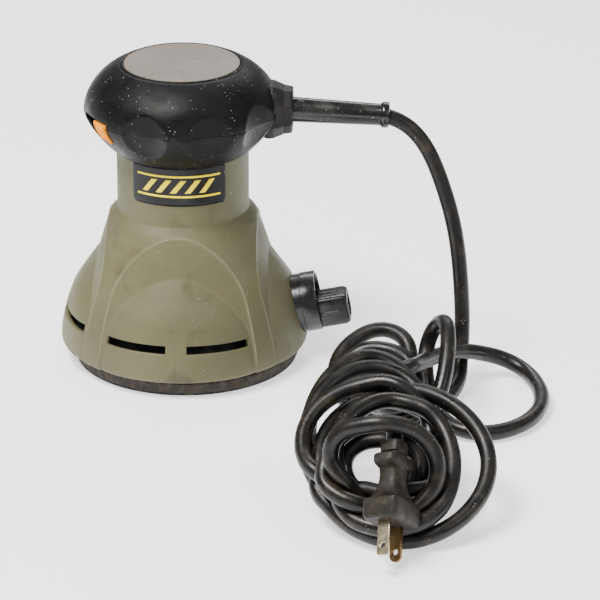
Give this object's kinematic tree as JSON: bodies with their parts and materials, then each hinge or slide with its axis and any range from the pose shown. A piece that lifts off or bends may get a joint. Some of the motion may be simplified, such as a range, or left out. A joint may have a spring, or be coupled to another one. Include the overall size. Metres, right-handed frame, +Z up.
{
  "type": "dual action polisher",
  "caption": "Palm-grip random-orbit polisher: flared bell housing with four arched faces, round grip, round hook pad, dust port and a bundled mains cord with plug.",
  "frame": {"origin": "on the working face of the pad, below the centre of the housing's skirt", "axes": "+Z up the motor shaft, +X towards the cord and the dust port, -Y towards the front face"},
  "size_m": [0.2691, 0.3319, 0.1704],
  "materials": {
    "housing": "satin olive-grey moulding",
    "label": "printed film",
    "grip_rubber": "soft matte overmould",
    "cap_plastic": "worn satin grey",
    "steel": "machined",
    "zinc_steel": "zinc plated",
    "boss_plastic": "black moulding",
    "relief_rubber": "soft black",
    "orange_plastic": "moulded",
    "dark_plastic": "glass-filled moulding",
    "capacitor_film": "boxed film capacitor",
    "lead_sleeve": "insulated lead",
    "core_steel": "stacked laminations",
    "copper_wire": "enamelled copper",
    "copper_bar": "turned copper",
    "brass_plate": "pressed",
    "carbon": "carbon brush",
    "cast_alloy": "die cast",
    "weight_metal": "cast",
    "pad_plastic": "glass-filled moulding",
    "foam": "dense foam, brown black",
    "hook_cloth": "woven hooks",
    "cord_rubber": "rubber jacket, black brown",
    "plug_rubber": "moulded plug",
    "blade_brass": "worn plated brass"
  },
  "bodies": {
    "housing": {"motor_housing": "housing", "name_plate": "label", "grip_lower_shell": "grip_rubber", "grip_upper_shell": "grip_rubber", "grip_cap": "cap_plastic", "grip_screws": "steel", "cord_boss": "boss_plastic", "strain_relief": "relief_rubber", "switch_bezel": "dark_plastic", "switch_body": "dark_plastic", "cord_clamp": "dark_plastic", "clamp_screws": "zinc_steel", "suppression_capacitor": "capacitor_film", "internal_leads": "lead_sleeve", "bearing_bracket": "dark_plastic", "bracket_screws": "zinc_steel", "upper_bearing_outer": "steel", "stator_core": "core_steel", "field_coils": "copper_wire", "brush_holders": "brass_plate", "brush_spring_front": "steel", "brush_spring_back": "steel", "bearing_plate": "cast_alloy", "bearing_plate_screws": "zinc_steel", "lower_bearing_outer": "steel", "pad_brake_ring": "relief_rubber", "dust_shroud": "dark_plastic", "dust_collar": "boss_plastic", "dust_nozzle": "boss_plastic", "cord_lead": "cord_rubber", "cord_back_turns": "cord_rubber", "cord_loop": "cord_rubber", "cord_stand": "cord_rubber", "cord_coil": "cord_rubber", "cord_tail": "cord_rubber", "plug_body": "plug_rubber", "plug_blades": "blade_brass"},
    "rotor": {"motor_shaft": "steel", "armature_core": "core_steel", "armature_winding": "copper_wire", "commutator": "copper_bar", "fan": "dark_plastic", "eccentric_hub": "cast_alloy", "counterweight": "weight_metal", "upper_bearing_inner": "steel", "lower_bearing_inner": "steel", "pad_bearing_outer": "steel"},
    "pad": {"pad_spindle": "cast_alloy", "pad_stud": "steel", "pad_plate": "pad_plastic", "pad_foam": "foam", "hook_face": "hook_cloth", "pad_bearing_inner": "steel"},
    "upper_cage": {"upper_bearing_balls": "steel"},
    "lower_cage": {"lower_bearing_balls": "steel"},
    "pad_cage": {"pad_bearing_balls": "steel"},
    "switch_button": {"switch_slider": "orange_plastic"},
    "front_brush": {"brush_front": "carbon"},
    "back_brush": {"brush_back": "carbon"}
  },
  "joints": [
    {"name": "shaft_spin", "type": "hinge", "parent": "housing", "child": "rotor", "pos_m": [0, 0, 0], "axis": [0, 0, 1], "continuous": true},
    {"name": "pad_spin", "type": "hinge", "parent": "rotor", "child": "pad", "pos_m": [0.0012, 0, 0], "axis": [0, 0, 1], "continuous": true},
    {"name": "upper_cage_spin", "type": "hinge", "parent": "housing", "child": "upper_cage", "pos_m": [0, 0, 0], "axis": [0, 0, 1], "continuous": true},
    {"name": "lower_cage_spin", "type": "hinge", "parent": "housing", "child": "lower_cage", "pos_m": [0, 0, 0], "axis": [0, 0, 1], "continuous": true},
    {"name": "pad_cage_spin", "type": "hinge", "parent": "rotor", "child": "pad_cage", "pos_m": [0.0012, 0, 0], "axis": [0, 0, 1], "continuous": true},
    {"name": "switch_slide", "type": "slide", "parent": "housing", "child": "switch_button", "axis": [0.5446, -0.8387, 0], "range_m": [-0.012, 0]},
    {"name": "front_brush_slide", "type": "slide", "parent": "housing", "child": "front_brush", "axis": [0, -1, 0], "range_m": [0, 0.003], "stiffness_N_per_m": 250, "springref_m": -0.01, "deforming": ["brush_spring_front"]},
    {"name": "back_brush_slide", "type": "slide", "parent": "housing", "child": "back_brush", "axis": [0, 1, 0], "range_m": [0, 0.003], "stiffness_N_per_m": 250, "springref_m": -0.01, "deforming": ["brush_spring_back"]}
  ],
  "couplings": [
    {"joint": "upper_cage_spin", "follows": "shaft_spin", "ratio": 0.367},
    {"joint": "lower_cage_spin", "follows": "shaft_spin", "ratio": 0.367},
    {"joint": "pad_cage_spin", "follows": "pad_spin", "ratio": 0.367}
  ]
}
